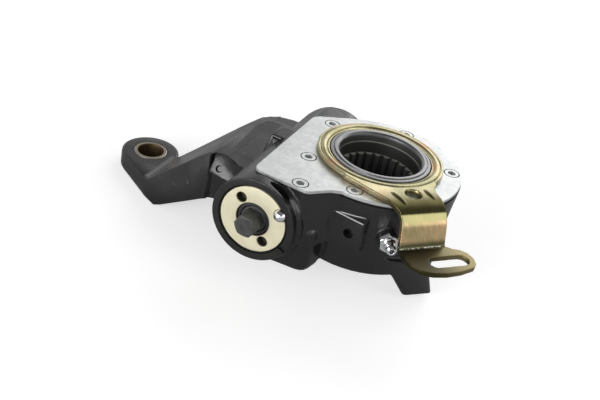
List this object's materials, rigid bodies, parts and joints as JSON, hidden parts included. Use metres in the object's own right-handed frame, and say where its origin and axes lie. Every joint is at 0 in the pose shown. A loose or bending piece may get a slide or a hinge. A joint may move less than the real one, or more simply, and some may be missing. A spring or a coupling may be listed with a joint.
{
  "type": "automatic brake slack adjuster",
  "caption": "Lever brake slack adjuster: cranked cast arm with a bushed eye, splined worm wheel and worm with a hexagon end, cover plate and slotted control arm.",
  "frame": {"origin": "on the camshaft's axis, level with the worm's axis", "axes": "+Z along the camshaft towards the cover plate, -X along the lever arm towards its eye, -Y along the worm towards its hexagon"},
  "size_m": [0.2599, 0.147, 0.0762],
  "materials": {
    "cast_black": "gloss black paint over a casting",
    "zinc_plate": "bright zinc",
    "yellow_zinc": "yellow passivated zinc",
    "pale_yellow_zinc": "pale yellow zinc",
    "machined_steel": "machined",
    "black_phosphate": "black phosphate",
    "bright_steel": "polished",
    "spring_steel": "oil tempered",
    "bronze": "bearing bronze",
    "rubber": "matt",
    "gasket_paper": "matt"
  },
  "bodies": {
    "body": {"housing": "cast_black", "arm_bush": "bronze", "cover_plate": "zinc_plate", "gasket": "gasket_paper", "cover_screw_1": "zinc_plate", "cover_screw_2": "zinc_plate", "cover_screw_3": "zinc_plate", "cover_screw_4": "zinc_plate", "cover_screw_5": "zinc_plate", "cover_screw_6": "zinc_plate", "threaded_cover": "pale_yellow_zinc", "cover_o_ring": "rubber", "lock_ball": "bright_steel", "shaft_seal": "rubber", "fixed_race": "machined_steel", "roller_cage": "bronze", "upper_bearing_ring": "machined_steel", "lower_bearing_ring": "bronze", "upper_seal": "rubber", "lower_seal": "rubber", "thrust_spring": "spring_steel", "front_spring_seat": "machined_steel", "rear_spring_seat": "machined_steel", "grease_nipple": "bright_steel", "nipple_ball": "bright_steel"},
    "wheel": {"worm_wheel": "machined_steel"},
    "worm": {"worm_screw": "black_phosphate", "clutch_hub": "machined_steel", "turning_race": "machined_steel"},
    "control": {"control_arm": "yellow_zinc", "control_disc": "machined_steel"},
    "push_rack": {"rack": "machined_steel"},
    "gear": {"clutch_gear": "machined_steel", "one_way_spring": "spring_steel"}
  },
  "joints": [
    {"name": "worm_wheel_spin", "type": "hinge", "parent": "body", "child": "wheel", "pos_m": [0, 0, 0], "axis": [0, 0, 1], "continuous": true},
    {"name": "worm_spin", "type": "hinge", "parent": "body", "child": "worm", "pos_m": [-0.046, 0, 0], "axis": [0, 1, 0], "continuous": true},
    {"name": "control_arm_turn", "type": "hinge", "parent": "body", "child": "control", "pos_m": [0, 0, 0], "axis": [0, 0, 1], "range_deg": [-4, 11]},
    {"name": "rack_slide", "type": "slide", "parent": "body", "child": "push_rack", "axis": [1, 0, 0], "range_m": [-0.0027, 0.0074]},
    {"name": "clutch_gear_spin", "type": "hinge", "parent": "body", "child": "gear", "pos_m": [-0.046, 0, 0], "axis": [0, 1, 0], "range_deg": [-10.2, 27.9]}
  ],
  "couplings": [
    {"joint": "worm_spin", "follows": "worm_wheel_spin", "ratio": 28},
    {"joint": "rack_slide", "follows": "control_arm_turn", "m_per_rad": 0.038},
    {"joint": "clutch_gear_spin", "follows": "control_arm_turn", "ratio": 2.5333}
  ]
}
